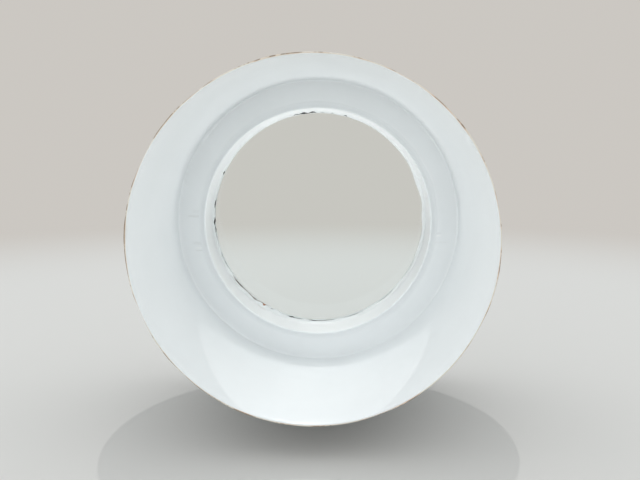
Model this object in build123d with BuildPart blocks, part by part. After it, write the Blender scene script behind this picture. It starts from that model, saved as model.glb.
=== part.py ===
"""Round fixed porthole window with the lining that carries it through a thick wall.

Millimetres, +Z up. The window's axis is the Y axis: the room is at -Y and outdoors
is at +Y. The origin lies on that axis in the outer face of the wall, against which
the flange is bedded, so every setback is measured from the plane y = 0.

From outdoors to the room the pieces are: a clamp ring with its screws, a gasket,
the pane on its blocks, a second gasket, the turned metal body with its flange and
spigot, a gasket between flange and wall, a timber ring round the spigot, seated on
the back of the flange, and a round liner whose rounded end is the rim seen from the
room.
"""

import os
from math import cos, degrees, radians, sin, sqrt

from build123d import *

# The bore of the window body and the glass
bore_diameter = 302.0
spigot_wall = 3.0
spigot_proud = 3.0
glass_edge_cover = 8.0
glass_edge_gap = 2.5
glass_thickness = 8.0
glass_arris = 1.0
glass_bead_width = 1.8
glass_bead_depth = 4.5

# The timber ring and the liner
ring_face_width = 33.9
ring_thickness = 44.0
liner_wall = 2.5
liner_length = 268.0
corner_bead_size = 3.0
spigot_bead_width = 3.0
spigot_bead_depth = 1.5

# The share of a thin wall that each of its rounded corners takes
edge_share = 0.45

# The flange, the hub and the seals
flange_overlap = 38.0
flange_thickness = 8.0
flange_edge_radius = 2.5
hub_wall = 11.0
hub_draft = 0.8
hub_foot_radius = 3.0
hub_edge_chamfer = 0.6
spigot_root_radius = 0.8
ledge_thickness = 4.5
flange_gasket_thickness = 2.0
inner_gasket_thickness = 1.5
outer_gasket_thickness = 2.0
gasket_setback = 2.0

# The clamp ring and its two drain slots
clamp_ring_cover = 10.0
clamp_ring_thickness = 8.0
clamp_ring_edge_radius = 3.0
clamp_ring_bevel = 2.0
drain_width = 8.0
drain_depth = 5.5
drain_spread = 14.0

# The blocks in the rebate
block_length = 30.0
block_setback = 0.5
setting_block_angle = 30.0

# The screws, and the holes for the wall fixings
clamp_screw_count = 12
clamp_screw_diameter = 5.0
clamp_screw_head = 9.2
clamp_screw_length = 18.0
body_screw_count = 8
body_screw_diameter = 4.5
body_screw_head = 9.0
body_screw_length = 35.0
liner_screw_count = 8
liner_screw_diameter = 4.0
liner_screw_head = 7.5
liner_screw_length = 28.0
head_rise = 1.1
slot_width = 1.2
slot_depth = 1.3
wall_hole_count = 8
wall_hole_diameter = 9.0
wall_hole_offset = 18.0

# Fits
fit_gap = 0.3
seal_gap = 0.1
thread_gap = 0.05
shank_gap = 0.3
head_gap = 0.1
hole_reserve = 1.5

# Radii, from the bore outwards
bore_radius = bore_diameter / 2
spigot_radius = bore_radius + spigot_wall
ring_bore_radius = spigot_radius + fit_gap
ring_radius = ring_bore_radius + ring_face_width
liner_bore_radius = ring_radius + fit_gap
liner_radius = liner_bore_radius + liner_wall
flange_radius = liner_radius + flange_overlap
wall_hole_radius = liner_radius + wall_hole_offset
glass_radius = bore_radius + glass_edge_cover
rebate_radius = glass_radius + glass_edge_gap
hub_radius = rebate_radius + hub_wall
hub_base_radius = hub_radius + hub_draft
clamp_ring_bore_radius = glass_radius - clamp_ring_cover
clamp_screw_radius = (rebate_radius + hub_radius) / 2
body_screw_radius = (hub_base_radius + hub_foot_radius + ring_radius) / 2
drain_radius = (clamp_ring_bore_radius + hub_radius) / 2

# Lengths that follow from the radii
ring_bore_chamfer = spigot_root_radius
drain_length = hub_radius - clamp_ring_bore_radius + 2 * drain_width

# Setbacks along Y, from the room to outdoors
rim_y = -liner_length
flange_back_y = flange_gasket_thickness
ring_face_y = flange_back_y - ring_thickness
spigot_end_y = ring_face_y - spigot_proud
liner_screw_y = (ring_face_y + flange_back_y) / 2
flange_face_y = flange_back_y + flange_thickness
ledge_y = flange_back_y + ledge_thickness
glass_room_y = ledge_y + inner_gasket_thickness
glass_outer_y = glass_room_y + glass_thickness
hub_face_y = glass_outer_y + outer_gasket_thickness
clamp_ring_face_y = hub_face_y + clamp_ring_thickness

# Angles in degrees, from +X towards +Z
clamp_screw_start = 180 / clamp_screw_count
body_screw_start = 180 / body_screw_count
bottom_angle = 270.0


def facing_outdoors(y):
    """A plane across the axis at this setback, its normal towards outdoors."""
    return Plane(origin=(0, y, 0), x_dir=(-1, 0, 0), z_dir=(0, 1, 0))


def through_axis(angle):
    """A plane that holds the axis, with its x direction at this angle."""
    return Plane.XY.rotated((0, -angle, 0))


def facing_away(count, y, radius):
    """Planes that touch a circle round the axis, their normals away from the axis."""
    angles = [radians(360 * i / count) for i in range(count)]
    return [
        Plane(origin=(radius * cos(a), y, radius * sin(a)), z_dir=(cos(a), 0, sin(a)))
        for a in angles
    ]


def make_screw(diameter, head, length, rise):
    """A slotted countersunk screw on the Z axis, the edge of its head at z = 0."""
    shank = diameter / 2
    head_radius = head / 2
    cone = head_radius - shank
    tip = shank / 2
    with BuildPart() as screw:
        with BuildSketch(Plane.XZ):
            with BuildLine():
                Polyline(
                    (head_radius, 0),
                    (shank, -cone),
                    (shank, tip - length),
                    (shank - tip, -length),
                    (0, -length),
                    (0, rise),
                )
                if rise:
                    dome_radius = (head_radius**2 + rise**2) / (2 * rise)
                    shoulder = sqrt(dome_radius**2 - head_radius**2 / 4) + rise - dome_radius
                    ThreePointArc((0, rise), (head_radius / 2, shoulder), (head_radius, 0))
                else:
                    Line((0, 0), (head_radius, 0))
            make_face()
        revolve(axis=Axis.Z)
        with BuildSketch(Plane.XY.offset(rise - slot_depth)):
            Rectangle(head + slot_width, slot_width)
        extrude(amount=head_radius, mode=Mode.SUBTRACT)
    return screw.part


def make_bead(radius, y, reach, depth):
    """A bead struck off straight in the corner of a round wall and the face it meets.

    Its reach along the face is towards the axis where it is negative.
    """
    with BuildPart() as bead:
        with BuildSketch(Plane.XY):
            with BuildLine():
                Polyline((radius + reach, y), (radius, y), (radius, y - depth), close=True)
            make_face()
        revolve(axis=Axis.Y)
    return bead.part


def make_block(angle):
    """A block in the rebate under the edge of the pane, centred at this angle."""
    span = degrees(block_length / glass_radius)
    with BuildPart() as block:
        with BuildSketch(through_axis(angle - span / 2)):
            with BuildLine():
                Polyline(
                    (glass_radius + seal_gap, glass_room_y + block_setback),
                    (rebate_radius - seal_gap, glass_room_y + block_setback),
                    (rebate_radius - seal_gap, glass_outer_y - block_setback),
                    (glass_radius + seal_gap, glass_outer_y - block_setback),
                    close=True,
                )
            make_face()
        revolve(axis=Axis.Y, revolution_arc=-span)
    return block.part


# The liner: a round tube with a round edge on its room end
with BuildPart() as wall_liner:
    with BuildSketch(Plane.XY):
        with BuildLine():
            Polyline(
                (liner_bore_radius, rim_y),
                (liner_radius, rim_y),
                (liner_radius, 0),
                (liner_bore_radius, 0),
                close=True,
            )
        make_face()
        fillet(vertices().group_by(Axis.Y)[0], liner_wall * edge_share)
    revolve(axis=Axis.Y)
    with Locations(*facing_away(liner_screw_count, liner_screw_y, liner_radius)):
        CounterSinkHole(
            liner_screw_diameter / 2 + shank_gap,
            liner_screw_head / 2 + head_gap + fit_gap,
            liner_wall + hole_reserve,
            90,
        )

# The timber ring between spigot and liner; its chamfer clears the root of the spigot
with BuildPart() as mounting_ring:
    with BuildSketch(Plane.XY):
        with BuildLine():
            Polyline(
                (ring_bore_radius, ring_face_y),
                (ring_radius, ring_face_y),
                (ring_radius, flange_back_y),
                (ring_bore_radius, flange_back_y),
                close=True,
            )
        make_face()
        chamfer(vertices().group_by(Axis.X)[0], ring_bore_chamfer)
    revolve(axis=Axis.Y)
    with Locations(facing_outdoors(flange_back_y)):
        with PolarLocations(body_screw_radius, body_screw_count, body_screw_start):
            Hole(
                body_screw_diameter / 2 + thread_gap,
                body_screw_length - flange_thickness + hole_reserve,
            )
    with Locations(*facing_away(liner_screw_count, liner_screw_y, ring_radius)):
        Hole(
            liner_screw_diameter / 2 + thread_gap,
            liner_screw_length - liner_wall + hole_reserve,
        )

# The body: spigot, ledge, glass rebate, hub and flange turned in one section
with BuildPart() as window_body:
    with BuildSketch(Plane.XY):
        with BuildLine():
            Polyline(
                (bore_radius, spigot_end_y),
                (bore_radius, ledge_y),
                (rebate_radius, ledge_y),
                (rebate_radius, hub_face_y),
                (hub_radius, hub_face_y),
                (hub_base_radius, flange_face_y),
                (flange_radius, flange_face_y),
                (flange_radius, flange_back_y),
                (spigot_radius, flange_back_y),
                (spigot_radius, spigot_end_y),
                close=True,
            )
        make_face()
        fillet(vertices().group_by(Axis.Y)[0], spigot_wall * edge_share)
        fillet(vertices().sort_by_distance((hub_base_radius, flange_face_y))[0], hub_foot_radius)
        fillet(vertices().sort_by_distance((spigot_radius, flange_back_y))[0], spigot_root_radius)
        fillet(vertices().sort_by_distance((flange_radius, flange_face_y))[0], flange_edge_radius)
        chamfer(vertices().sort_by_distance((hub_radius, hub_face_y))[0], hub_edge_chamfer)
    revolve(axis=Axis.Y)
    with Locations(facing_outdoors(hub_face_y)):
        with PolarLocations(clamp_screw_radius, clamp_screw_count, clamp_screw_start):
            Hole(
                clamp_screw_diameter / 2 + thread_gap,
                clamp_screw_length - clamp_ring_thickness + hole_reserve,
            )
    with Locations(facing_outdoors(flange_face_y)):
        with PolarLocations(body_screw_radius, body_screw_count, body_screw_start):
            CounterSinkHole(
                body_screw_diameter / 2 + shank_gap,
                body_screw_head / 2 + head_gap,
                flange_thickness + hole_reserve,
                90,
            )
        with PolarLocations(wall_hole_radius, wall_hole_count):
            Hole(wall_hole_diameter / 2, flange_thickness + hole_reserve)

# The gasket between flange and wall, round the end of the liner
with BuildPart() as flange_gasket:
    with BuildSketch(facing_outdoors(0)):
        Circle(flange_radius - gasket_setback)
        Circle(liner_radius + fit_gap, mode=Mode.SUBTRACT)
        with PolarLocations(wall_hole_radius, wall_hole_count):
            Circle(wall_hole_diameter / 2, mode=Mode.SUBTRACT)
    extrude(amount=flange_gasket_thickness)

# The two glazing gaskets
with BuildPart() as inner_gasket:
    with BuildSketch(facing_outdoors(ledge_y)):
        Circle(rebate_radius - fit_gap)
        Circle(bore_radius + fit_gap, mode=Mode.SUBTRACT)
    extrude(amount=inner_gasket_thickness)

with BuildPart() as outer_gasket:
    with BuildSketch(facing_outdoors(glass_outer_y)):
        Circle(rebate_radius - fit_gap)
        Circle(clamp_ring_bore_radius + fit_gap, mode=Mode.SUBTRACT)
    extrude(amount=outer_gasket_thickness)

# The pane, with its edges taken off
with BuildPart() as glass_pane:
    with BuildSketch(facing_outdoors(glass_room_y)):
        Circle(glass_radius)
    extrude(amount=glass_thickness)
    chamfer(edges().filter_by(GeomType.CIRCLE), glass_arris)


# Two blocks carry the pane and two keep it central
with BuildPart() as setting_blocks:
    for side in (-1, 1):
        add(make_block(bottom_angle + side * setting_block_angle))

with BuildPart() as location_blocks:
    for side in (-1, 1):
        add(make_block(bottom_angle + side * 90))

# The clamp ring, with a bevelled bore, screw holes and drains at the bottom
with BuildPart() as clamp_ring:
    with BuildSketch(Plane.XY):
        with BuildLine():
            Polyline(
                (clamp_ring_bore_radius, hub_face_y),
                (clamp_ring_bore_radius, clamp_ring_face_y),
                (hub_radius, clamp_ring_face_y),
                (hub_radius, hub_face_y),
                close=True,
            )
        make_face()
        outer_edge = vertices().group_by(Axis.Y)[-1]
        fillet(outer_edge.sort_by(Axis.X)[-1], clamp_ring_edge_radius)
        chamfer(vertices().group_by(Axis.Y)[-1].sort_by(Axis.X)[0], clamp_ring_bevel)
    revolve(axis=Axis.Y)
    with Locations(facing_outdoors(clamp_ring_face_y)):
        with PolarLocations(clamp_screw_radius, clamp_screw_count, clamp_screw_start):
            CounterSinkHole(
                clamp_screw_diameter / 2 + shank_gap,
                clamp_screw_head / 2 + head_gap,
                clamp_ring_thickness + hole_reserve,
                90,
            )
    with BuildSketch(facing_outdoors(clamp_ring_face_y)):
        with Locations((-drain_spread, -drain_radius), (drain_spread, -drain_radius)):
            Rectangle(drain_width, drain_length)
    extrude(amount=-drain_depth, mode=Mode.SUBTRACT)

# The screws
with BuildPart() as clamp_screws:
    with Locations(facing_outdoors(clamp_ring_face_y)):
        with PolarLocations(clamp_screw_radius, clamp_screw_count, clamp_screw_start):
            add(make_screw(clamp_screw_diameter, clamp_screw_head, clamp_screw_length, head_rise))

with BuildPart() as body_screws:
    with Locations(facing_outdoors(flange_face_y)):
        with PolarLocations(body_screw_radius, body_screw_count, body_screw_start):
            add(make_screw(body_screw_diameter, body_screw_head, body_screw_length, 0))

with BuildPart() as liner_screws:
    with Locations(*facing_away(liner_screw_count, liner_screw_y, liner_radius - fit_gap)):
        add(make_screw(liner_screw_diameter, liner_screw_head, liner_screw_length, 0))

# The sealant round the glass and round the spigot, and the filler inside the liner
with BuildPart() as glass_bead:
    add(make_bead(bore_radius - seal_gap, glass_room_y, -glass_bead_width, glass_bead_depth))

with BuildPart() as spigot_bead:
    add(make_bead(spigot_radius + seal_gap, ring_face_y, spigot_bead_width, spigot_bead_depth))

with BuildPart() as corner_bead:
    add(make_bead(liner_bore_radius - seal_gap, ring_face_y, -corner_bead_size, corner_bead_size))

pieces = {
    "wall_liner": wall_liner,
    "mounting_ring": mounting_ring,
    "window_body": window_body,
    "flange_gasket": flange_gasket,
    "inner_gasket": inner_gasket,
    "glass_pane": glass_pane,
    "setting_blocks": setting_blocks,
    "location_blocks": location_blocks,
    "outer_gasket": outer_gasket,
    "clamp_ring": clamp_ring,
    "clamp_screws": clamp_screws,
    "body_screws": body_screws,
    "liner_screws": liner_screws,
    "glass_bead": glass_bead,
    "spigot_bead": spigot_bead,
    "corner_bead": corner_bead,
}

os.makedirs("parts", exist_ok=True)
for name, piece in pieces.items():
    piece.part.label = name
    export_step(piece.part, f"parts/{name}.step")
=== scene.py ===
# %% [markdown]
# # A round fixed window in a deep white lining
# The part is a porthole: a pane clamped in a turned metal body, a painted ring round it,
# and a long round lining that ends in a thin rim. The frame brings every piece at its real
# size. This lesson gives each one its finish, and models again the few whose surface was
# made by a brush, a thumb or a sealant gun, because no lathe leaves such a shape. Lengths
# are in metres, angles in degrees, and the axis of the window is Y, with outdoors at +Y.

from math import atan2, cos, degrees, hypot, pi, radians, sin

import bmesh
import bpy
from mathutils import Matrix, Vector


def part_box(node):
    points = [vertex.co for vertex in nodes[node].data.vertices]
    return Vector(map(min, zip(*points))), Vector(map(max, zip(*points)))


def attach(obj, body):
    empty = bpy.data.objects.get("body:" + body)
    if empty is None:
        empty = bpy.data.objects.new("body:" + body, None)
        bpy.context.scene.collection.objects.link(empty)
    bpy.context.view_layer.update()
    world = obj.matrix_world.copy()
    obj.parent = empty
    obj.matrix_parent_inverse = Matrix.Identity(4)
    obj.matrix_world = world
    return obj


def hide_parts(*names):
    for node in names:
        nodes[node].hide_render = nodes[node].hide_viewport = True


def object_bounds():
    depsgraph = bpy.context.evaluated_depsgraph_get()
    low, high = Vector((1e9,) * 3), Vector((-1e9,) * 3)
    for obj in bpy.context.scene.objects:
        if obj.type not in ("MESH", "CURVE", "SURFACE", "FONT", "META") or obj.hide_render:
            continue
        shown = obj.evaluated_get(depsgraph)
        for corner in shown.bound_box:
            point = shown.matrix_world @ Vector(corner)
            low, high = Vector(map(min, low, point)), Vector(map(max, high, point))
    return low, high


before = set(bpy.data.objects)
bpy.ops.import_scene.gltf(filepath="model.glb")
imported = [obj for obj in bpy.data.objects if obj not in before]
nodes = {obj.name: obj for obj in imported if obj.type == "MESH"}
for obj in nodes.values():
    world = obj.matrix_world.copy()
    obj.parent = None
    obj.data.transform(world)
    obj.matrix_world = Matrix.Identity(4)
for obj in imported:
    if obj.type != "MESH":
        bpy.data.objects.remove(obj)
cad_low, cad_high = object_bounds()
mm = 0.001
print("nodes:", len(nodes), "box:", [round(v, 4) for v in cad_low], [round(v, 4) for v in cad_high])

# %% [markdown]
# ## The camera
# The rim, the ring and the edge of the glass are circles one behind the other, so their
# sizes and centres in the picture give the lens, the distance and the tilt. The camera
# stands a little above the window's axis and to its right, and looks slightly down and to
# the left.

# %% Camera
camera_lens = 37.36
camera_right, camera_back, camera_up = 0.0229, 0.663, 0.0934
camera_dip, camera_swing = 7.49, 1.27

rim_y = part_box("wall_liner")[0].y
camera_data = bpy.data.cameras.new("camera")
camera_data.lens = camera_lens
camera_data.sensor_width = 36.0
camera_data.clip_start = 0.01
camera = bpy.data.objects.new("camera", camera_data)
camera.location = (camera_right, rim_y - camera_back, camera_up)
camera.rotation_euler = (radians(90 - camera_dip), 0, radians(camera_swing))
bpy.context.scene.collection.objects.link(camera)
bpy.context.scene.camera = camera
bpy.context.scene.view_settings.view_transform = "Standard"
print("camera at", [round(v, 3) for v in camera.location])

# %% [markdown]
# ## Who sees the background
# A white thing needs a background a little darker than itself, or its edge is lost. But a
# darker world would also light it less. The Light Path node tells the rays apart: what the
# camera sees, straight, through glass or in a gloss, is the background, and all other rays
# get the daylight. World and floor both need this, so it is a helper of its own.

# %% Rays that see the background


def link(tree, source, target):
    """Join an output socket to an input socket."""
    tree.links.new(source, target)


def math_node(tree, operation, first, second):
    """A Math node on two values, each a socket or a number; returns its output."""
    calculation = tree.nodes.new("ShaderNodeMath")
    calculation.operation = operation
    for socket, value in zip(calculation.inputs, (first, second)):
        if isinstance(value, bpy.types.NodeSocket):
            link(tree, value, socket)
        else:
            socket.default_value = value
    return calculation.outputs[0]


def background_rays(tree):
    """1 for rays from the camera, through glass and off gloss, and 0 for all others."""
    path = tree.nodes.new("ShaderNodeLightPath")
    direct = math_node(tree, "MAXIMUM", path.outputs["Is Camera Ray"], path.outputs["Is Transmission Ray"])
    return math_node(tree, "MAXIMUM", direct, path.outputs["Is Glossy Ray"])


def mix_shaders(tree, share, first, second):
    """The first shader where the share is 0 and the second where it is 1."""
    mix = tree.nodes.new("ShaderNodeMixShader")
    link(tree, share, mix.inputs["Fac"])
    link(tree, first, mix.inputs[1])
    link(tree, second, mix.inputs[2])
    return mix.outputs[0]


print("made: link, math_node, background_rays, mix_shaders")

# %% [markdown]
# ## The world
# The window stands in even light from all sides, as in a white studio by day. A world of
# one colour is the plainest way to such light. Behind it the camera sees a warm pale grey.

# %% World
background_colour = (0.60, 0.575, 0.54, 1.0)
daylight_colour = (0.94, 0.98, 1.0, 1.0)

world = bpy.data.worlds.new("studio")
bpy.context.scene.world = world
world.use_nodes = True
tree = world.node_tree
tree.nodes.clear()
daylight = tree.nodes.new("ShaderNodeBackground")
daylight.inputs["Color"].default_value = daylight_colour
background = tree.nodes.new("ShaderNodeBackground")
background.inputs["Color"].default_value = background_colour
output = tree.nodes.new("ShaderNodeOutputWorld")
seen = mix_shaders(tree, background_rays(tree), daylight.outputs[0], background.outputs[0])
link(tree, seen, output.inputs["Surface"])
print("world:", len(tree.nodes), "shader nodes")

# %% [markdown]
# ## The floor
# The floor is a wide disc that fades with distance into the colour behind it, so that no
# view has a horizon. The fade reads the distance from the middle of the floor. A plain
# matt disc is enough, because all it has to show is the object's shadow.

# %% Floor
floor_colour = (0.66, 0.645, 0.62)
floor_radius = 9
fade_from, fade_to = 0.9, 2.2


def new_material(name, colour, roughness):
    """A material with one Principled shader; returns the material, its tree and the shader."""
    material = bpy.data.materials.new(name)
    material.use_nodes = True
    shader = material.node_tree.nodes["Principled BSDF"]
    shader.inputs["Base Color"].default_value = (*colour, 1.0)
    shader.inputs["Roughness"].default_value = roughness
    return material, material.node_tree, shader


def vector_node(tree, operation, first, second=None):
    """A Vector Math node on a socket and a socket or three numbers; returns the node."""
    calculation = tree.nodes.new("ShaderNodeVectorMath")
    calculation.operation = operation
    link(tree, first, calculation.inputs[0])
    if isinstance(second, bpy.types.NodeSocket):
        link(tree, second, calculation.inputs[1])
    elif second is not None:
        calculation.inputs[1].default_value = second
    return calculation


def ramp_to(tree, value, low, high):
    """A value taken softly from 0 at low to 1 at high."""
    ramp = tree.nodes.new("ShaderNodeMapRange")
    ramp.interpolation_type = "SMOOTHSTEP"
    ramp.inputs["From Min"].default_value = low
    ramp.inputs["From Max"].default_value = high
    link(tree, value, ramp.inputs["Value"])
    return ramp.outputs[0]


def object_place(tree):
    """The point on the piece."""
    return tree.nodes.new("ShaderNodeTexCoord").outputs["Object"]


bpy.ops.mesh.primitive_circle_add(vertices=96, radius=floor_radius, fill_type="NGON",
                                  location=(0, 0, cad_low.z))
floor = bpy.context.object
floor.name = "floor"
floor_paint, tree, matt = new_material("floor_paint", floor_colour, 0.9)
floor.data.materials.append(floor_paint)
matt.inputs["Specular IOR Level"].default_value = 0.2
far = tree.nodes.new("ShaderNodeEmission")
far.inputs["Color"].default_value = background_colour
distance = vector_node(tree, "LENGTH", object_place(tree)).outputs["Value"]
share = math_node(tree, "MULTIPLY", ramp_to(tree, distance, fade_from, fade_to), background_rays(tree))
faded = mix_shaders(tree, share, matt.outputs[0], far.outputs[0])
link(tree, faded, tree.nodes["Material Output"].inputs["Surface"])
print("floor at", round(cad_low.z, 4))

# %% [markdown]
# ## The sun and the softbox
# The bright crescent at the bottom of the lining is sunlight that falls through the glass.
# Its upper edge is the shadow of the lip of the bore, and its outer edge the shadow of the
# clamp ring. The two together give the sun's height and its turn to the side, and a narrow
# sun keeps the edges crisp. One soft lamp indoors gives the outside of the window its form.

# %% Sun and softbox
sun_elevation, sun_turn = 46.5, 1.0
sun_strength, sun_width = 0.46, 0.3
softbox_place = Vector((-1.1, -2.2, 0.6))
softbox_power, softbox_size = 4, 1.3


def new_lamp(name, kind, energy, turns, place=(0, 0, 0)):
    """A lamp of a kind and a power, turned and put in its place."""
    data = bpy.data.lights.new(name, kind)
    data.energy = energy
    lamp = bpy.data.objects.new(name, data)
    lamp.location = place
    lamp.rotation_euler = turns
    bpy.context.scene.collection.objects.link(lamp)
    return lamp


sun = new_lamp("outdoor_sun", "SUN", sun_strength, (radians(sun_elevation - 90), 0, radians(-sun_turn)))
sun.data.angle = radians(sun_width)
at_rim = (Vector((0, rim_y, 0)) - softbox_place).to_track_quat("-Z", "Y").to_euler()
softbox = new_lamp("room_softbox", "AREA", softbox_power, at_rim, softbox_place)
softbox.data.size = softbox_size
print("sun", sun_elevation, "degrees high, softbox at", [round(v, 2) for v in softbox.location])

# %% [markdown]
# ## Two discs of light
# An even world lights the bottom of a deep tube less than its mouth. Two discs, which the
# camera doesn't see, make up for it: one in the opening behind the glass adds daylight and
# is tipped so that it reaches the upper side of the lining, and one at the rim adds light
# from the bright studio. A disc of a given radiance has the power radiance x pi x its area.

# %% Disc lamps


def disc_lamp(name, y, z, radius, radiance, turn):
    """A disc of soft light in the opening; turned by 90 it shines outdoors, by -90 indoors."""
    lamp = new_lamp(name, "AREA", radiance * pi * pi * radius**2, (radians(turn), 0, 0), (0, y, z))
    lamp.data.shape = "DISK"
    lamp.data.size = 2 * radius
    lamp.visible_camera = False
    lamp.visible_glossy = False
    lamp.visible_transmission = False


disc_lamp("daylight_disc", y=0.030, z=0.045, radius=0.090, radiance=2.6, turn=-112)
disc_lamp("studio_disc", y=rim_y - 0.002, z=0.0, radius=0.183, radiance=0.20, turn=90)

# %% [markdown]
# ## Sizes from the frame
# Every radius and setback is read from the nodes that the frame brings, so a piece that is
# modelled here sits exactly where the turned one does. Typed in, these sizes would be wrong
# as soon as the part changed.

# %% Sizes


def radii(name):
    """The smallest and the largest distance of a node's points from the window's axis."""
    reach = [hypot(v.co.x, v.co.z) for v in nodes[name].data.vertices]
    return min(reach), max(reach)


liner_bore, liner_radius = radii("wall_liner")
liner_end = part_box("wall_liner")[1].y
bore = radii("window_body")[0]
spigot_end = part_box("window_body")[0].y
spigot_radius = radii("spigot_bead")[0]
ring_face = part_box("mounting_ring")[0].y
glass_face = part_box("glass_pane")[0].y
gasket_low, gasket_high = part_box("outer_gasket")
gasket_bore, gasket_radius = radii("outer_gasket")
print("liner", round(liner_bore / mm, 2), round(liner_radius / mm, 2), "bore", round(bore / mm, 2))
print("setbacks", [round(v / mm, 2) for v in (rim_y, spigot_end, ring_face, glass_face)])

# %% [markdown]
# ## How a round piece is modelled
# Everything here is round, so the tool is a lathe made of edit-mode operators: a circle is
# added at the first point of the section, then extruded and resized from point to point,
# and at the end the last ring is bridged to the first. A Screw modifier would do it too,
# but its last step has to be merged with the first, and this way the ring is closed at once.

# %% Lathe


def turned(name, section, steps):
    """A closed ring round the Y axis, made from its section: a list of (radius, y)."""
    bpy.ops.object.select_all(action="DESELECT")
    radius, y = section[0]
    bpy.ops.mesh.primitive_circle_add(vertices=steps, radius=radius, location=(0, y, 0),
                                      rotation=(radians(90), 0, 0))
    piece = bpy.context.object
    piece.name = name
    bpy.ops.object.transform_apply(location=True, rotation=True, scale=True)
    bpy.ops.object.mode_set(mode="EDIT")
    bpy.ops.mesh.select_mode(type="VERT")
    bpy.ops.mesh.select_all(action="SELECT")
    for next_radius, next_y in section[1:]:
        bpy.ops.mesh.extrude_edges_move(TRANSFORM_OT_translate={"value": (0, next_y - y, 0)})
        grow = next_radius / radius
        bpy.ops.transform.resize(value=(grow, 1, grow), center_override=(0, next_y, 0))
        radius, y = next_radius, next_y
    bpy.ops.mesh.select_all(action="DESELECT")
    bpy.ops.mesh.select_non_manifold()
    bpy.ops.mesh.bridge_edge_loops()
    bpy.ops.mesh.select_all(action="SELECT")
    bpy.ops.mesh.normals_make_consistent(inside=False)
    bpy.ops.object.mode_set(mode="OBJECT")
    print(name, "turned:", len(piece.data.polygons), "faces")
    return piece


print("made: turned")

# %% [markdown]
# ## The lining
# The lining is a rolled tube with a thin rounded rim. It is turned again here with many
# more rings along its length than the frame's, so that it can be as uneven as sheet metal
# and old paint are.

# %% Lining
lining_steps = 288
rings_along = 18
rim_round = 1.0 * mm

quarter = [radians(22.5 * i) for i in range(5)]
rim_curve = [(rim_round * (1 - sin(t)), rim_y + rim_round * (1 - cos(t))) for t in quarter]
inner_edge = [(liner_bore + gap, y) for gap, y in reversed(rim_curve)]
outer_edge = [(liner_radius - gap, y) for gap, y in rim_curve]
length = liner_end - rim_y - rim_round
stations = [rim_y + rim_round + length * (i / rings_along) for i in range(1, rings_along + 1)]
section = inner_edge + outer_edge + [(liner_radius, y) for y in stations]
section += [(liner_bore, y) for y in reversed(stations)]
lining = turned("painted_lining", section, lining_steps)

# %% [markdown]
# ## Unevenness by hand
# A turned piece is too perfect. Its edge is grabbed at a few places and pulled in or out by a
# fraction of a millimetre, with proportional editing on, so that the points beside it
# follow. Each pull is written down as where it is, how far towards the axis, and how far
# along the edge it reaches.

# %% Hand tools
edge_setback, edge_breadth = 0.3 * mm, 8 * mm


def choose(piece, wanted):
    """Select the visible points of a mesh in edit mode for which wanted(radius, y, angle) holds."""
    mesh = bmesh.from_edit_mesh(piece.data)
    for vertex in mesh.verts:
        place = vertex.co
        angle = degrees(atan2(place.z, place.x)) % 360
        vertex.select_set(not vertex.hide and wanted(hypot(place.x, place.z), place.y, angle))
    mesh.select_flush_mode()
    bmesh.update_edit_mesh(piece.data)


def away(angle, other):
    """The angle between two directions round the axis, in degrees."""
    return abs((angle - other + 180) % 360 - 180)


def edge_at(radius, y):
    """A test that holds for the points of an edge at this radius and setback."""
    return lambda r, v: abs(v - y) < edge_setback and abs(r - radius) < edge_breadth


def pull(piece, on_edge, pulls, steps):
    """Pull an edge. A pull is (angle, towards the axis, reach), the last two in mm."""
    spacing = 360 / steps
    for at, inwards, reach in pulls:
        choose(piece, lambda r, y, a: away(a, at) < spacing * 0.51 and on_edge(r, y))
        way = Vector((cos(radians(at)), 0, sin(radians(at)))) * -inwards * mm
        bpy.ops.transform.translate(value=way, use_proportional_edit=True, proportional_edit_falloff="SMOOTH",
                                    proportional_size=reach * mm, use_proportional_connected=False)


print("from 350 to 10 degrees are", away(350, 10), "degrees")

# %% [markdown]
# The rim of the lining is pulled first. Then all its points are shaken a little and
# smoothed, which is how a brushed edge looks, and the long side between the rim and the
# screws gets a slow swell. The end with the screws stays true, because other pieces seat
# there.

# %% Uneven rim
rim_pulls = [(12, 0.5, 26), (38, -0.3, 30), (63, 0.6, 22), (101, -0.4, 34), (128, 0.5, 28), (152, 0.9, 30),
             (176, -0.5, 30), (203, 0.9, 34), (226, 0.5, 24), (247, -0.4, 22), (292, 0.5, 30), (331, 0.6, 34)]
rim_shake, side_swell = 0.35 * mm, 0.9 * mm
true_length = 60 * mm

bpy.ops.object.mode_set(mode="EDIT")
pull(lining, edge_at(liner_bore, rim_y + rim_round), rim_pulls, lining_steps)
choose(lining, lambda r, y, a: y < rim_y + 3 * rim_round)
bpy.ops.transform.vertex_random(offset=rim_shake, uniform=1.0, normal=0.0, seed=4)
bpy.ops.mesh.vertices_smooth(factor=0.5, repeat=2)
choose(lining, lambda r, y, a: rim_y + 4 * rim_round < y < liner_end - true_length)
bpy.ops.transform.vertex_random(offset=side_swell, uniform=0.0, normal=1.0, seed=9)
bpy.ops.mesh.vertices_smooth(factor=0.5, repeat=8)
bpy.ops.object.mode_set(mode="OBJECT")
for vertex in lining.data.vertices:
    vertex.co.y = max(vertex.co.y, rim_y)
lining_reaches = [hypot(v.co.x, v.co.z) / mm for v in lining.data.vertices]
print("lining between the radii", round(min(lining_reaches), 2), "and", round(max(lining_reaches), 2))

# %% [markdown]
# ## Screw holes
# Eight screws hold the lining to the edge of the ring, and their heads lie flush in it. The
# holes are cut as a countersink bit would cut them: a cylinder for the shank and a cone for
# the head at each screw, all joined into one cutter for a single Boolean.

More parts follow.
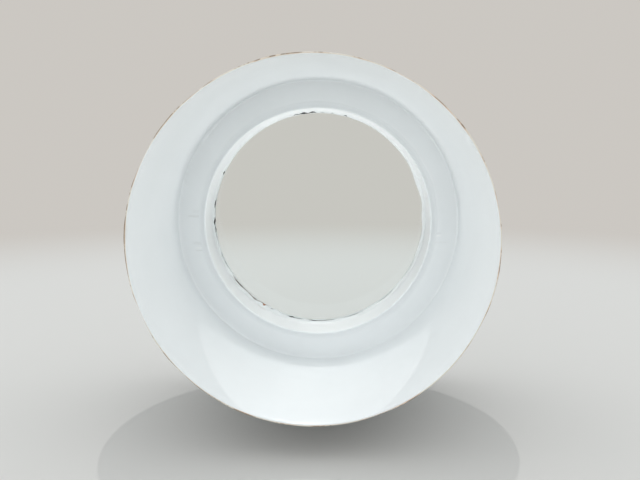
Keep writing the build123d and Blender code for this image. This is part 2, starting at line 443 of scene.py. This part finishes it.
# %% Screw holes
screw_count = 8
hole_radius, hole_depth, hole_proud = 2.3 * mm, 8 * mm, 3.01 * mm
head_radius, head_depth, head_proud = 4.15 * mm, 1.85 * mm, 0.01 * mm
cuts = ((hole_radius, hole_depth, hole_proud), (head_radius, head_depth, head_proud))
screw_low, screw_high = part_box("liner_screws")
screw_y = (screw_low.y + screw_high.y) / 2


def screw_cutter():
    """One mesh with a countersunk hole's shape at each screw of the lining."""
    shapes = []
    for i in range(screw_count):
        turn = radians(360 * i / screw_count)
        for outer, depth, proud in cuts:
            bpy.ops.object.select_all(action="DESELECT")
            middle = liner_radius + proud - depth / 2
            bpy.ops.mesh.primitive_cone_add(vertices=32, radius1=hole_radius, radius2=outer, depth=depth,
                                            location=(middle * cos(turn), screw_y, middle * sin(turn)),
                                            rotation=(0, radians(90) - turn, 0))
            shapes.append(bpy.context.object)
    for shape in shapes:
        shape.select_set(True)
    bpy.ops.object.join()
    return bpy.context.object


cutter = screw_cutter()
bpy.ops.object.select_all(action="DESELECT")
bpy.context.view_layer.objects.active = lining
lining.select_set(True)
holes = lining.modifiers.new("screw_holes", "BOOLEAN")
holes.object = cutter
holes.operation = "DIFFERENCE"
holes.solver = "EXACT"
holes.use_self = True
bpy.ops.object.modifier_apply(modifier="screw_holes")
bpy.data.objects.remove(cutter)
print("lining with holes:", len(lining.data.polygons), "faces")

# %% [markdown]
# ## Tools for materials
# A material here starts from one Principled shader and gets its detail from noise. On a
# round piece the noise reads coordinates that run round the axis without a seam: the
# direction from the axis, stretched, beside the radius and the setback. An image or a UV
# map would need a seam somewhere.

# %% Places on a round piece


def times(tree, first, second):
    """Two values multiplied."""
    return math_node(tree, "MULTIPLY", first, second)


def plus(tree, first, second):
    """Two values added."""
    return math_node(tree, "ADD", first, second)


def minus(tree, first, second):
    """The second value taken from the first."""
    return math_node(tree, "SUBTRACT", first, second)


def flattened(tree, where):
    """The way from the window's axis to a place, square to the axis."""
    return vector_node(tree, "MULTIPLY", where, (1, 0, 1)).outputs[0]


def place_on_piece(tree):
    """The point on the piece, its distance from the axis, and its setback along Y."""
    where = object_place(tree)
    radius = vector_node(tree, "LENGTH", flattened(tree, where)).outputs["Value"]
    parts = tree.nodes.new("ShaderNodeSeparateXYZ")
    link(tree, where, parts.inputs[0])
    return where, radius, parts.outputs["Y"]


def round_place(tree, around, across, along):
    """Coordinates for strokes that run round the axis: direction, radius and setback, each scaled."""
    where, radius, y = place_on_piece(tree)
    direction = vector_node(tree, "NORMALIZE", flattened(tree, where)).outputs[0]
    stretched = vector_node(tree, "MULTIPLY", direction, (around, around, around)).outputs[0]
    lift = tree.nodes.new("ShaderNodeCombineXYZ")
    link(tree, plus(tree, times(tree, radius, across), times(tree, y, along)), lift.inputs["Y"])
    return vector_node(tree, "ADD", stretched, lift.outputs[0]).outputs[0]


def along_axis(tree, where, direction):
    """How far a point lies along a direction."""
    return vector_node(tree, "DOT_PRODUCT", where, direction).outputs["Value"]


print("made: times, plus, minus, flattened, place_on_piece, round_place, along_axis")

# %% [markdown]
# With a place known, the rest is a small kit: noise, a blend of two colours, a gloss that
# follows a value, and relief by a Bump node. Relief this fine is left to the shader,
# because as geometry it would take millions of faces.

# %% Noise, colour, gloss and relief


def noise(tree, place, scale, detail=2.0, rough=0.5):
    """Noise from 0 to 1 at this place."""
    texture = tree.nodes.new("ShaderNodeTexNoise")
    texture.inputs["Scale"].default_value = scale
    texture.inputs["Detail"].default_value = detail
    texture.inputs["Roughness"].default_value = rough
    link(tree, place, texture.inputs["Vector"])
    return texture.outputs["Fac"]


def blend_colours(tree, factor, first, second):
    """One colour over another; each is a socket or a colour of three numbers."""
    blend = tree.nodes.new("ShaderNodeMix")
    blend.data_type = "RGBA"
    link(tree, factor, blend.inputs["Factor"])
    for socket, value in ((blend.inputs["A"], first), (blend.inputs["B"], second)):
        if isinstance(value, bpy.types.NodeSocket):
            link(tree, value, socket)
        else:
            socket.default_value = (*value, 1.0)
    return blend.outputs["Result"]


def gloss_between(tree, shader, value, smooth, rough, low=0.0, high=1.0):
    """The shader's roughness, from smooth where the value is low to rough where it is high."""
    gloss = tree.nodes.new("ShaderNodeMapRange")
    gloss.inputs["From Min"].default_value = low
    gloss.inputs["From Max"].default_value = high
    gloss.inputs["To Min"].default_value = smooth
    gloss.inputs["To Max"].default_value = rough
    link(tree, value, gloss.inputs["Value"])
    link(tree, gloss.outputs[0], shader.inputs["Roughness"])


def bump(tree, shader, height, distance, strength, under=None):
    """A Bump node on the shader's normal; under is a bump that it lies on."""
    relief = tree.nodes.new("ShaderNodeBump")
    relief.inputs["Distance"].default_value = distance
    relief.inputs["Strength"].default_value = strength
    link(tree, height, relief.inputs["Height"])
    if under:
        link(tree, under, relief.inputs["Normal"])
    link(tree, relief.outputs["Normal"], shader.inputs["Normal"])
    return relief.outputs["Normal"]


print("made: noise, blend_colours, gloss_between, bump")

# %% [markdown]
# ## White paint
# But for the pane and its seal, all that is seen from indoors is under white paint, put on
# by brush. The colour hardly changes, so the brush shows in the gloss and the relief: long
# strokes that run round the axis, over a soft unevenness of what is underneath.

# %% White paint
white = (0.86, 0.883, 0.89)
shadow_white = (0.835, 0.858, 0.865)
brush_relief, swell_relief = 0.12 * mm, 0.6 * mm


def brushed_white(name, around, across, along, tones=(white, shadow_white)):
    """White gloss paint with brush strokes round the axis; returns material, tree, shader, colour."""
    material, tree, shader = new_material(name, white, 0.34)
    strokes = noise(tree, round_place(tree, around, across, along), scale=1.0, detail=3.0, rough=0.6)
    where = object_place(tree)
    cloud = noise(tree, where, scale=9.0, detail=3.0, rough=0.55)
    colour = blend_colours(tree, ramp_to(tree, cloud, 0.35, 0.75), *tones)
    link(tree, colour, shader.inputs["Base Color"])
    gloss_between(tree, shader, strokes, smooth=0.28, rough=0.44)
    brushed = bump(tree, shader, strokes, brush_relief, strength=0.5)
    swell = noise(tree, where, scale=55.0, detail=1.0)
    bump(tree, shader, swell, swell_relief, strength=0.25, under=brushed)
    return material, tree, shader, colour


print("whites:", white, shadow_white)

# %% [markdown]
# ## The lining's paint
# The lining was painted in place, so the white goes over the rim and a little way down the
# outside. Radius and setback tell its zones apart: white inside, cream and peach on the rim
# where old paint has yellowed, brown smears on the outer edge, fewer on the right than on
# the left, and behind the lap the grey primer of the tube. Each zone is a blend over the
# one before, so they can overlap like coats.

# %% Lining paint
primer_grey = (0.34, 0.35, 0.35)
shaded_primer = tuple(0.86 * c for c in primer_grey)
edge_brown = (0.27, 0.195, 0.135)
cream = (0.74, 0.68, 0.57)
peach = (0.66, 0.46, 0.30)
lap, lap_wander, lap_edge = 15 * mm, 14 * mm, 0.6 * mm
smears_left, smears_right = -120 * mm, 60 * mm

lining_paint, tree, shader, colour = brushed_white("lining_white", around=5.0, across=0.0, along=160.0)
where, radius, y = place_on_piece(tree)
patchy = noise(tree, where, scale=26.0, detail=4.0, rough=0.6)
ragged = noise(tree, where, scale=120.0, detail=3.0, rough=0.6)


def under_outside(starts, full):
    """A zone of the lining, from where it starts to where it is full, in mm under the outside."""
    return ramp_to(tree, radius, liner_radius - starts * mm, liner_radius - full * mm)


yellowed = times(tree, under_outside(2.1, 0.9), 0.85)
old_edge = blend_colours(tree, ramp_to(tree, patchy, 0.42, 0.62), cream, peach)
colour = blend_colours(tree, yellowed, colour, old_edge)
smear = plus(tree, times(tree, patchy, 0.65), times(tree, ragged, 0.35))
right_side = ramp_to(tree, along_axis(tree, where, (1, 0, 0)), smears_left, smears_right)
smear = minus(tree, smear, times(tree, right_side, 0.07))
smeared = times(tree, ramp_to(tree, smear, 0.44, 0.50), under_outside(1.2, 0.6))
colour = blend_colours(tree, smeared, colour, edge_brown)
wavy_y = plus(tree, y, times(tree, patchy, lap_wander))
behind_lap = ramp_to(tree, wavy_y, rim_y + lap, rim_y + lap + lap_edge)
at_end = ramp_to(tree, y, liner_end - 0.4 * mm, liner_end - 0.2 * mm)
bare = math_node(tree, "MAXIMUM", times(tree, behind_lap, under_outside(1.3, 1.1)), at_end)
colour = blend_colours(tree, bare, colour, blend_colours(tree, ragged, primer_grey, shaded_primer))
link(tree, colour, shader.inputs["Base Color"])
print("lining paint:", len(tree.nodes), "shader nodes")

# %% [markdown]
# ## Into the frame
# A finished piece gets smooth shading with sharp edges kept, its one material, and its
# place in the frame: it rides on the root body, and the node that it stands for is hidden.

# %% Finishing a piece
sharp_angle = radians(40)


def finish_piece(piece, node, material):
    """Smooth shading, one material, and the piece's place in the frame."""
    bpy.ops.object.select_all(action="DESELECT")
    piece.select_set(True)
    bpy.context.view_layer.objects.active = piece
    bpy.ops.object.shade_smooth_by_angle(angle=sharp_angle)
    piece.data.materials.clear()
    piece.data.materials.append(material)
    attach(piece, "root")
    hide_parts(node)
    print(piece.name, "stands for", node)


finish_piece(lining, "wall_liner", lining_paint)

# %% [markdown]
# ## Marks on the ring
# The ring is timber, butted from two halves. Where they meet, left and right of the bore,
# the paint shows faint filled marks. Grey lines are the joint and the painted shade of its
# small step. Beside two of them runs a pale line, a painted highlight on the step's lit
# edge. Each is a soft line at one height that ends a little way out, so a list of where
# they are is enough, and no picture of them is needed.

# %% Ring marks
# grey of the filled joint together with painted shade of its small step
joint_and_step_shade = (0.44, 0.43, 0.40)
# painted highlight on the lit edge of the step
step_highlight = (0.93, 0.94, 0.93)
line_core, line_edge = 0.3, 1.4
mark_begins, mark_full, mark_fade = 140 * mm, 150 * mm, 6 * mm
left, right = -1, 1
# side, height, half width and reach in mm, colour, share
ring_marks = [
    (left, 8.5, 1.6, 178, joint_and_step_shade, 0.14),
    (left, 15.0, 2.5, 172, joint_and_step_shade, 0.06),
    (left, -29.0, 2.2, 172, joint_and_step_shade, 0.10),
    (left, -35.0, 0.9, 168, step_highlight, 0.6),
    (left, -38.5, 0.9, 168, joint_and_step_shade, 0.16),
    (right, -14.0, 1.1, 168, joint_and_step_shade, 0.14),
    (right, -17.3, 0.9, 168, step_highlight, 0.8),
    (right, -26.0, 1.5, 178, joint_and_step_shade, 0.05),
]


def fading(tree, value, low, high):
    """A value taken softly from 1 at low to 0 at high."""
    return minus(tree, 1.0, ramp_to(tree, value, low, high))


print("marks on the ring:", len(ring_marks))

# %% [markdown]
# ## The ring's paint
# Only the face of the ring was painted. The frame's own ring has the right shape, so it
# stays and gets its finish here: strokes round the face, the marks blended over them one
# by one, and bare timber behind the face, with the grain run round the ring.

# %% Ring paint
pine = (0.56, 0.40, 0.24)
dark_pine = (0.42, 0.27, 0.14)


def dress(name, material):
    """Give a node of the frame its material."""
    data = nodes[name].data
    data.materials.clear()
    data.materials.append(material)


ring_paint, tree, shader, colour = brushed_white("ring_white", around=4.0, across=420.0, along=0.0)
where, _, y = place_on_piece(tree)
wander = times(tree, minus(tree, noise(tree, where, scale=60.0), 0.5), 3 * mm)
to_the_right = along_axis(tree, where, (1, 0, 0))
wavy_height = plus(tree, along_axis(tree, where, (0, 0, 1)), wander)
for side, height, half, reach, tone, share in ring_marks:
    off_line = math_node(tree, "ABSOLUTE", minus(tree, wavy_height, height * mm), 0.0)
    on_line = fading(tree, off_line, line_core * half * mm, line_edge * half * mm)
    sideways = times(tree, to_the_right, side)
    beside_bore = ramp_to(tree, sideways, mark_begins, mark_full)
    within_reach = fading(tree, sideways, reach * mm - mark_fade, reach * mm)
    mark = times(tree, times(tree, on_line, beside_bore), within_reach)
    colour = blend_colours(tree, times(tree, mark, share), colour, tone)
growth_rings = round_place(tree, around=60.0, across=9.0, along=9.0)
grain = noise(tree, growth_rings, scale=1.0, detail=4.0, rough=0.65)
timber = blend_colours(tree, ramp_to(tree, grain, 0.35, 0.7), pine, dark_pine)
bare = ramp_to(tree, y, ring_face + 0.2 * mm, ring_face + 0.5 * mm)
colour = blend_colours(tree, bare, colour, timber)
link(tree, colour, shader.inputs["Base Color"])
dress("mounting_ring", ring_paint)
print("ring paint:", len(tree.nodes), "shader nodes, face at", round(ring_face / mm, 2))

# %% [markdown]
# ## The body and its clamp ring
# The body is metal under gloss paint, inside and outside. The paint of the bore is whiter
# than that of the flange. This is painted light: it stands in for the daylight that makes the
# bore brighter than the rest. Near the glass at the lower left a little rust has come
# through at the edge of the bore. A stain is made as a distance from a point, with noise to
# make it ragged.

# %% Body paint
# painted light: the bore's paint is whiter than the flange's, for the daylight on it
lit_bore_white = (0.915, 0.94, 0.945)
rust = (0.33, 0.13, 0.045)
rust_angle = 237.5


def stain(tree, where, angle, radius, y, size, soft):
    """A ragged spot round the point at this angle, radius and setback: 1 inside, 0 outside."""
    middle = (radius * cos(radians(angle)), y, radius * sin(radians(angle)))
    gap = vector_node(tree, "DISTANCE", where, middle).outputs["Value"]
    wobble = times(tree, noise(tree, where, scale=260.0), size)
    return fading(tree, plus(tree, gap, wobble), size, size + soft)


body_paint, tree, shader, colour = brushed_white("body_white", around=6.0, across=260.0, along=260.0,
                                                tones=(lit_bore_white, white))
where, _, y = place_on_piece(tree)
# Outdoors the painted light of the bore ends, and the paint is the plain white.
outdoors = ramp_to(tree, y, glass_face, glass_face + 8 * mm)
colour = blend_colours(tree, outdoors, colour, white)
seep = stain(tree, where, rust_angle, bore, glass_face - 5 * mm, size=4 * mm, soft=9 * mm)
colour = blend_colours(tree, times(tree, seep, 0.16), colour, rust)
link(tree, colour, shader.inputs["Base Color"])
dress("window_body", body_paint)
dress("clamp_ring", body_paint)
print("body paint:", len(tree.nodes), "shader nodes")

# %% [markdown]
# ## Sealant round the glass
# The bead is gun sealant, drawn round by thumb and painted. It is turned with a hollow
# section and a blunt edge on the glass, in many steps, because its edge needs them.

# %% Glass bead
bead_steps = 540
bead_reach, bead_depth = 3.2 * mm, 5.5 * mm
bead_edge, bead_seat = 0.7 * mm, 0.03 * mm


def hollow_corner(radius, y, reach, depth, steps):
    """The section of a fillet between a tube and a face, hollow like a thumb leaves it."""
    turns = [radians(90 * i / steps) for i in range(steps + 1)]
    curve = [(radius + reach * (1 - sin(t)), y - depth * (1 - cos(t))) for t in turns]
    return curve + [(radius, y)]


bead_outer = bore - bead_seat
bead_inner = bead_outer - bead_reach
bead_back = glass_face - bead_seat
bead_section = [(bead_inner, bead_back)]
bead_section += hollow_corner(bead_outer, glass_face - bead_edge, -bead_reach, bead_depth, 6)[:-1]
bead_section += [(bead_outer, bead_back)]
glass_bead = turned("glass_bead_sealant", bead_section, bead_steps)

# %% [markdown]
# Then its edge is pulled where the thumb let it bulge, step or run thin, and shaken a
# little. The points on the side of the bore are hidden while that is done, so that they
# stay on the metal.

# %% Bead by thumb
bead_shake, bead_held = 0.22 * mm, 0.4 * mm
bead_pulls = [
    (2, 1.9, 26), (20, 2.2, 30), (45, 0.3, 20), (62, -0.8, 24), (75.5, -2.3, 5), (82.5, -2.1, 4),
    (88, -1.4, 7), (93, -2.6, 8), (98, -3.0, 8), (102, -2.0, 8), (110, -0.2, 8), (122, 0.3, 16),
    (136, -0.2, 12), (146, 0.5, 9), (154, -1.7, 4), (164, 0.3, 7), (172, -1.3, 8), (178, 0.7, 4),
    (182, -1.7, 6), (196, 0.9, 14), (212, 1.2, 16), (226, 1.6, 18), (236, 2.4, 12), (240, 2.6, 7),
    (246, 3.0, 12), (251, 1.0, 6), (254, -0.8, 4), (263, 0.8, 9), (268, -0.4, 5), (282, 0.7, 16),
    (300, 1.4, 24), (322, 1.2, 22), (344, 1.0, 20),
]

bpy.ops.object.mode_set(mode="EDIT")
choose(glass_bead, lambda r, y, a: r > bore - bead_held)
bpy.ops.mesh.hide()
pull(glass_bead, edge_at(bead_inner, bead_back), bead_pulls, bead_steps)
choose(glass_bead, lambda r, y, a: True)
bpy.ops.transform.vertex_random(offset=bead_shake, uniform=1.0, normal=0.0, seed=12)
bpy.ops.mesh.vertices_smooth(factor=0.5, repeat=1, yaxis=False)
bpy.ops.mesh.reveal(select=False)
bpy.ops.object.mode_set(mode="OBJECT")
for vertex in glass_bead.data.vertices:
    vertex.co.y = min(vertex.co.y, bead_back)
bead_reaches = [hypot(v.co.x, v.co.z) / mm for v in glass_bead.data.vertices]
print("bead edge on the glass from", round(min(bead_reaches), 1))

# %% [markdown]
# The finish needs to know how far a point of the bead is from the bead's own edge, wherever
# the thumb left that edge. So that distance is worked out once and kept on the points, as
# an attribute that the material can read.

# %% Distance from the edge


def sector(place):
    """The number of the bead's step that a point lies in."""
    return round(degrees(atan2(place.z, place.x)) * bead_steps / 360) % bead_steps


edge_radius = {}
for vertex in glass_bead.data.vertices:
    step = sector(vertex.co)
    edge_radius[step] = min(edge_radius.get(step, 1.0), hypot(vertex.co.x, vertex.co.z))
from_edge = glass_bead.data.attributes.new("from_edge", "FLOAT", "POINT")
for vertex in glass_bead.data.vertices:
    gap = hypot(vertex.co.x, vertex.co.z) - edge_radius[sector(vertex.co)]
    from_edge.data[vertex.index].value = gap / mm
print("edge between", round(min(edge_radius.values()) / mm, 1), round(max(edge_radius.values()) / mm, 1))

# %% [markdown]
# Sealant is a little less glossy than paint. Dirt has gathered on its edge at the lower
# left, within a few degrees either way, with one spot of rust. How far a point lies from
# that direction comes from a dot product, whose value is the cosine of the angle.

# %% Sealant
# painted light: the sealant's whites are lighter than the paint's, for the brightness of the bead beside the
# glass
lit_sealant_white = (0.905, 0.93, 0.93)
shaded_sealant = (0.865, 0.89, 0.89)
dirt = (0.23, 0.17, 0.12)
dirt_angle, dirt_ends, dirt_full = 227, 15, 9

sealant, tree, shader = new_material("painted_sealant", lit_sealant_white, 0.42)
where, radius, _ = place_on_piece(tree)
cloud = noise(tree, where, scale=60.0, detail=3.0)
colour = blend_colours(tree, ramp_to(tree, cloud, 0.4, 0.8), lit_sealant_white, shaded_sealant)
lower_left = (cos(radians(dirt_angle)), 0, sin(radians(dirt_angle)))
cosine = math_node(tree, "DIVIDE", along_axis(tree, where, lower_left), radius)
in_arc = ramp_to(tree, cosine, cos(radians(dirt_ends)), cos(radians(dirt_full)))
edge_distance = tree.nodes.new("ShaderNodeAttribute")
edge_distance.attribute_name = "from_edge"
spread = plus(tree, edge_distance.outputs["Fac"], noise(tree, where, scale=240.0))
at_edge = fading(tree, spread, 1.0, 2.0)
broken = ramp_to(tree, noise(tree, where, scale=130.0), 0.28, 0.45)
dirty = times(tree, times(tree, in_arc, at_edge), broken)
colour = blend_colours(tree, times(tree, dirty, 0.85), colour, dirt)
spot = stain(tree, where, rust_angle + 0.1, bead_inner - 1.6 * mm, glass_face - 1.0 * mm,
             size=3.2 * mm, soft=1.6 * mm)
colour = blend_colours(tree, spot, colour, rust)
link(tree, colour, shader.inputs["Base Color"])
bump(tree, shader, noise(tree, where, scale=420.0, detail=3.0), distance=0.15 * mm, strength=0.35)
finish_piece(glass_bead, "glass_bead", sealant)

# %% [markdown]
# ## The gasket behind the glass
# Through the edge of the pane a black line shows wherever the bead runs thin: the inner edge
# of the outer gasket, squeezed out a little between pane and clamp ring. It is turned and
# pulled like the bead, with its outer part hidden so that it stays seated.

# %% Squeezed gasket
gasket_steps = 360
gasket_round = 0.5 * mm
gasket_seat, gasket_lip = 3 * mm, 0.2 * mm
gasket_pulls = [(97, 0.8, 14), (108, 0.2, 12), (154, 0.9, 4), (171, 0.6, 12), (181, 1.5, 7), (186, 1.5, 6),
                (222, 0.8, 14), (244, 1.4, 10), (255, 1.2, 5), (266, 0.5, 8), (320, 0.4, 20)]

gasket_section = [
    (gasket_bore, gasket_low.y + gasket_round), (gasket_bore, gasket_high.y - gasket_round),
    (gasket_bore + gasket_round, gasket_high.y), (gasket_radius, gasket_high.y),
    (gasket_radius, gasket_low.y), (gasket_bore + gasket_round, gasket_low.y),
]
squeezed_gasket = turned("squeezed_gasket", gasket_section, gasket_steps)
bpy.ops.object.mode_set(mode="EDIT")
choose(squeezed_gasket, lambda r, y, a: r > gasket_radius - gasket_seat)
bpy.ops.mesh.hide()
pull(squeezed_gasket, lambda r, y: r < gasket_bore + gasket_lip, gasket_pulls, gasket_steps)
bpy.ops.mesh.reveal(select=False)
bpy.ops.object.mode_set(mode="OBJECT")

# %% [markdown]
# The seals are black rubber sheet: matt, faintly dusty and finely grained, so a fine noise
# does for both colour and relief.

# %% Rubber
black = (0.018, 0.018, 0.019)
dusty_black = (0.06, 0.06, 0.058)

rubber, tree, shader = new_material("black_rubber", black, 0.62)
where = object_place(tree)
dusty = ramp_to(tree, noise(tree, where, scale=150.0, detail=4.0, rough=0.6), 0.45, 0.85)
link(tree, blend_colours(tree, dusty, black, dusty_black), shader.inputs["Base Color"])
bump(tree, shader, noise(tree, where, scale=900.0), distance=0.1 * mm, strength=0.4)
finish_piece(squeezed_gasket, "outer_gasket", rubber)
dress("flange_gasket", rubber)
dress("inner_gasket", rubber)

# %% [markdown]
# ## The two fillets
# One runs round the lip of the spigot, the other round the corner of ring and lining. Both
# were smoothed by thumb and painted with the ring, so that there is no gap and no sharp
# line, only a change of shade that wanders by a millimetre or two. The lip's section is
# given by points, how far each is outside the spigot's edge and how far proud of the ring.

# %% Fillet shapes
fillet_steps = 288
fillet_lift = 0.02 * mm
lip_reach = 6.5 * mm
lip_outside = [(3.4, 0.7), (1.2, 1.7), (-0.1, 2.5), (-0.8, 2.9)]
lip_crest = (spigot_radius - 1.4 * mm, spigot_end - fillet_lift)
lip_inside = [(-0.5, 2.6), (-0.06, 1.7), (-0.04, 0.01)]
corner_reach, corner_depth = 2.8 * mm, 3.0 * mm


def by_spigot(points):
    """Points given in mm from the spigot's edge and the ring's face, as radius and setback."""
    return [(spigot_radius + outside * mm, ring_face - proud * mm) for outside, proud in points]


fillet_back = ring_face - fillet_lift
lip_section = [(spigot_radius + lip_reach, fillet_back)]
lip_section += by_spigot(lip_outside) + [lip_crest] + by_spigot(lip_inside)
lip_fillet = turned("lip_fillet", lip_section, fillet_steps)
corner_section = hollow_corner(liner_bore - fillet_lift, fillet_back, -corner_reach, corner_depth, 6)
corner_fillet = turned("corner_fillet", corner_section, fillet_steps)

# %% [markdown]
# Each fillet is then pulled along its free edge on the ring, while the points by the
# spigot or the lining are hidden.

# %% Fillets by hand
held_width = 1.5 * mm
lip_pulls = [(20, -0.9, 30), (70, 0.8, 34), (118, -0.9, 26), (150, 0.7, 30), (200, -0.8, 34), (262, 0.9, 30),
             (300, -0.8, 26), (335, 0.6, 24)]
corner_pulls = [(10, 0.6, 30), (55, -0.5, 30), (96, 0.4, 34), (140, 1.2, 40), (182, 0.8, 26), (228, 2.4, 48),
                (312, 2.2, 48), (350, -0.4, 24)]


def smooth_by_thumb(fillet, free_radius, held_radius, pulls):
    """Pull the free edge of a fillet and leave its held side where it is."""
    bpy.ops.object.select_all(action="DESELECT")
    bpy.context.view_layer.objects.active = fillet
    fillet.select_set(True)
    bpy.ops.object.mode_set(mode="EDIT")
    choose(fillet, lambda r, y, a: abs(r - held_radius) < held_width)
    bpy.ops.mesh.hide()
    pull(fillet, edge_at(free_radius, fillet_back), pulls, fillet_steps)
    bpy.ops.mesh.reveal(select=False)
    bpy.ops.object.mode_set(mode="OBJECT")


filler = brushed_white("filler_white", around=4.0, across=200.0, along=200.0)[0]
smooth_by_thumb(lip_fillet, spigot_radius + lip_reach, spigot_radius, lip_pulls)
finish_piece(lip_fillet, "spigot_bead", filler)
smooth_by_thumb(corner_fillet, liner_bore - corner_reach, liner_bore, corner_pulls)
finish_piece(corner_fillet, "corner_bead", filler)

# %% [markdown]
# ## Glass
# The pane is clear float glass. It refracts, and it lets the sun through: for shadow rays a
# transparent shader takes over, or the pane would cast a dark shadow. Faint smears in the
# gloss keep it from looking like air.

# %% Glass
float_glass = (0.95, 0.985, 0.975)

glass, tree, shader = new_material("clear_glass", float_glass, 0.0)
shader.inputs["Transmission Weight"].default_value = 1.0
shader.inputs["IOR"].default_value = 1.5
smears = noise(tree, object_place(tree), scale=18.0, detail=5.0, rough=0.65)
gloss_between(tree, shader, smears, smooth=0.0, rough=0.05, low=0.55, high=0.9)
clear = tree.nodes.new("ShaderNodeBsdfTransparent")
path = tree.nodes.new("ShaderNodeLightPath")
surface = mix_shaders(tree, path.outputs["Is Shadow Ray"], shader.outputs[0], clear.outputs[0])
link(tree, surface, tree.nodes["Material Output"].inputs["Surface"])
dress("glass_pane", glass)
print("glass:", len(tree.nodes), "shader nodes")

# %% [markdown]
# ## Blocks
# The blocks in the rebate are grey glazing rubber, cut from strip. They carry the pane and
# keep it central, and are hardly seen, so a mottled matt grey is all that they need.

# %% Blocks
block_grey = (0.10, 0.10, 0.10)
pale_block_grey = (0.14, 0.14, 0.138)

block_rubber, tree, shader = new_material("block_rubber", block_grey, 0.7)
where = object_place(tree)
mottled = blend_colours(tree, noise(tree, where, scale=200.0, detail=3.0), block_grey, pale_block_grey)
link(tree, mottled, shader.inputs["Base Color"])
bump(tree, shader, noise(tree, where, scale=700.0), distance=0.1 * mm, strength=0.3)
dress("setting_blocks", block_rubber)
dress("location_blocks", block_rubber)
print("blocks:", len(tree.nodes), "shader nodes")

# %% [markdown]
# ## Screws
# The screws are stainless steel, bright but not polished: the colour changes from spot to
# spot, and fine scratches run round the window's axis across the heads.

# %% Screws
bright_steel = (0.62, 0.62, 0.60)
dull_steel = (0.52, 0.52, 0.50)

steel, tree, shader = new_material("stainless_steel", bright_steel, 0.3)
shader.inputs["Metallic"].default_value = 1.0
spots = noise(tree, object_place(tree), scale=300.0, detail=3.0)
spotted = blend_colours(tree, spots, bright_steel, dull_steel)
link(tree, spotted, shader.inputs["Base Color"])
scratches = noise(tree, round_place(tree, around=20.0, across=4000.0, along=0.0), scale=1.0)
gloss_between(tree, shader, scratches, smooth=0.2, rough=0.42)
bump(tree, shader, scratches, distance=0.03 * mm, strength=0.3)
for name in ("clamp_screws", "body_screws", "liner_screws"):
    dress(name, steel)
print("dressed:", sorted(n for n, o in nodes.items() if o.data.materials))
